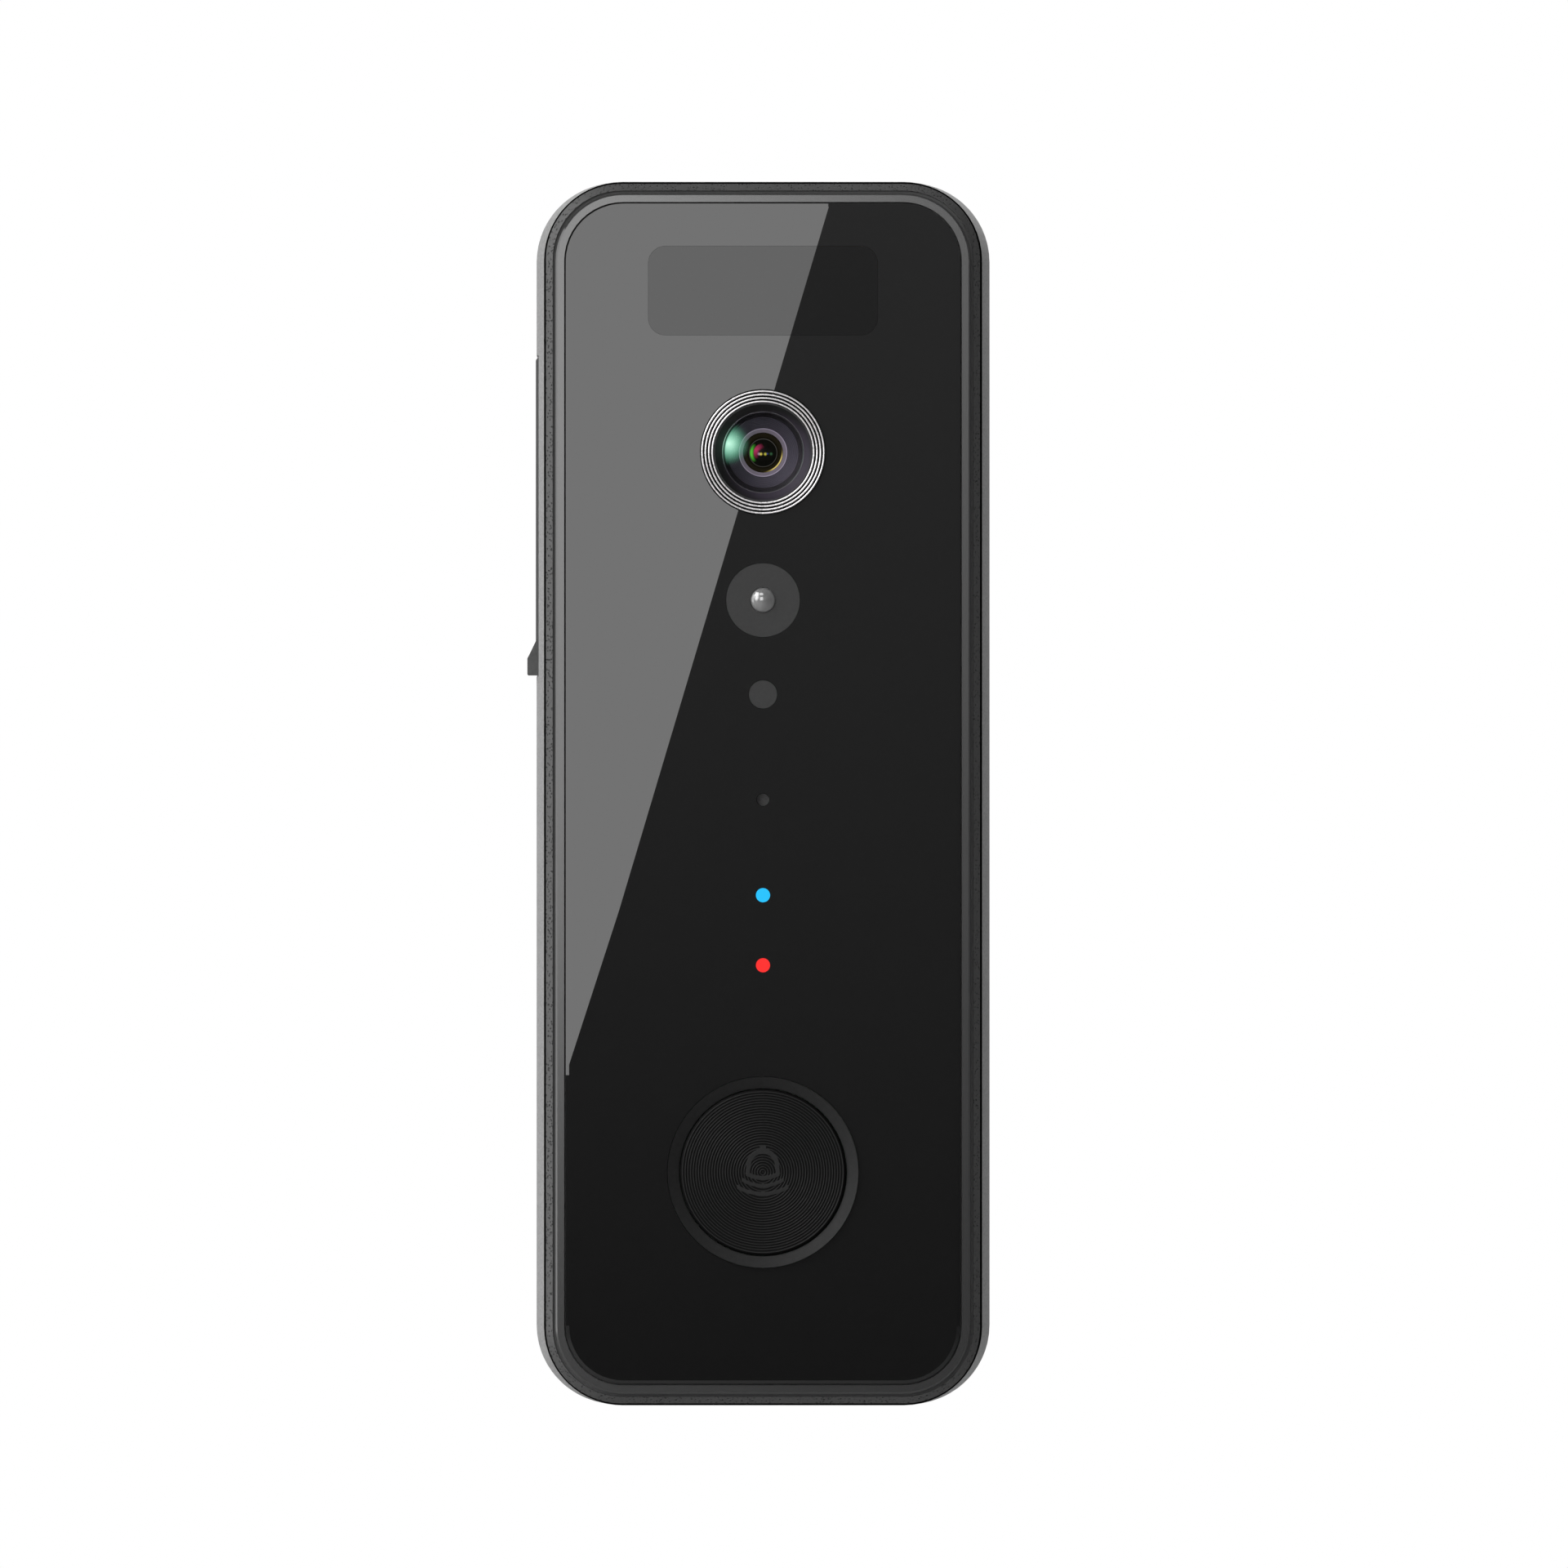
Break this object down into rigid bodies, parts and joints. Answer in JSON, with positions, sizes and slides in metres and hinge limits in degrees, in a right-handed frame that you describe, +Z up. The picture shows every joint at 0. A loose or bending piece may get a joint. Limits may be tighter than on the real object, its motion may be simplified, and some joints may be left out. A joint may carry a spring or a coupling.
{
  "type": "video doorbell",
  "caption": "Upright battery video doorbell with a camera, motion sensor, grooved push button, side port flap and a wall bracket.",
  "frame": {"origin": "centre of the bracket's four wall screws, on the wall plane", "axes": "+Z up, +X right seen from the front, the front faces -Y, the wall is the plane y = 0"},
  "size_m": [0.053, 0.0287, 0.14],
  "materials": {
    "silver_plastic": "satin silver-grey paint with a fine sparkle",
    "brass": "turned",
    "black_rubber": "matt rubber",
    "grained_black": "leather-like grain",
    "satin_black": "satin",
    "dark_glass": "polished dark panel",
    "ir_plastic": "polished infrared-pass plastic",
    "chrome": "polished",
    "hood_black": "anodised look",
    "coated_glass": "coated lens glass",
    "lens_black": "matt black",
    "pale_metal": "satin",
    "black_plastic": "fine grain",
    "chip_black": "chip package",
    "grey_window": "matt grey",
    "clear_plastic": "clear polished",
    "steel": "plated",
    "white_ceramic": "chip package",
    "blue_light": "lit blue pipe",
    "red_light": "lit red pipe",
    "silicone": "matt silicone",
    "board_green": "solder mask",
    "cable_orange": "polyimide film",
    "grey_rubber": "matt rubber",
    "cell_wrap": "shrink sleeve over a metal can, with the density of a filled cell",
    "cone_grey": "paper cone",
    "wire_red": "insulated wire"
  },
  "bodies": {
    "bracket": {"mounting_bracket": "black_plastic"},
    "security_screw": {"security_screw": "steel"},
    "button": {"button_cap": "black_plastic", "switch_plunger": "silicone"},
    "port_flap": {"port_flap": "grey_rubber"},
    "reset_button": {"reset_button": "silicone"},
    "doorbell": {"rear_housing": "silver_plastic", "threaded_insert": "brass", "housing_seal": "black_rubber", "front_frame": "grained_black", "bezel_ring": "satin_black", "front_panel": "dark_glass", "ir_window": "ir_plastic", "lens_trim_ring": "chrome", "lens_hood": "hood_black", "front_lens_element": "coated_glass", "lens_barrel": "lens_black", "lens_retainer_ring": "pale_metal", "inner_lens_element": "coated_glass", "rear_lens_element": "coated_glass", "lens_holder": "black_plastic", "ir_cut_filter": "coated_glass", "image_sensor": "chip_black", "motion_window": "grey_window", "motion_lens": "clear_plastic", "motion_sensor": "steel", "light_sensor_window": "grey_window", "light_sensor": "white_ceramic", "blue_light_pipe": "blue_light", "red_light_pipe": "red_light", "status_leds": "white_ceramic", "infrared_leds": "white_ceramic", "microphone": "chip_black", "microphone_gasket": "black_rubber", "button_ring": "satin_black", "button_return_pad": "silicone", "tact_switch": "steel", "sensor_board": "board_green", "mid_frame": "black_plastic", "main_board": "board_green", "main_board_chips": "chip_black", "shield_can": "steel", "wifi_module": "steel", "wifi_antenna": "cable_orange", "usb_port": "steel", "memory_card_socket": "steel", "reset_switch": "steel", "battery_cells": "cell_wrap", "battery_contacts": "steel", "battery_springs": "steel", "battery_door": "black_plastic", "battery_door_seal": "silicone", "battery_door_screws": "steel", "housing_screws": "steel", "board_screws": "steel", "speaker": "black_plastic", "speaker_cone": "cone_grey", "speaker_mesh": "black_plastic", "flex_cable": "cable_orange", "wires": "wire_red"}
  },
  "joints": [
    {"name": "unit_lift_off", "type": "slide", "parent": "bracket", "child": "doorbell", "axis": [0, 0, 1], "range_m": [0, 0.009]},
    {"name": "security_screw_out", "type": "slide", "parent": "bracket", "child": "security_screw", "axis": [0, 0, -1], "range_m": [0, 0.006]},
    {"name": "button_press", "type": "slide", "parent": "doorbell", "child": "button", "axis": [0, 1, 0], "range_m": [0, 0.00045], "stiffness_N_per_m": 2500, "deforming": ["button_return_pad"]},
    {"name": "port_flap_open", "type": "hinge", "parent": "doorbell", "child": "port_flap", "pos_m": [-0.0255, -0.012, 0.0494], "axis": [0, 1, 0], "range_deg": [0, 95]},
    {"name": "reset_press", "type": "slide", "parent": "doorbell", "child": "reset_button", "axis": [1, 0, 0], "range_m": [0, 0.0003], "stiffness_N_per_m": 2000}
  ]
}
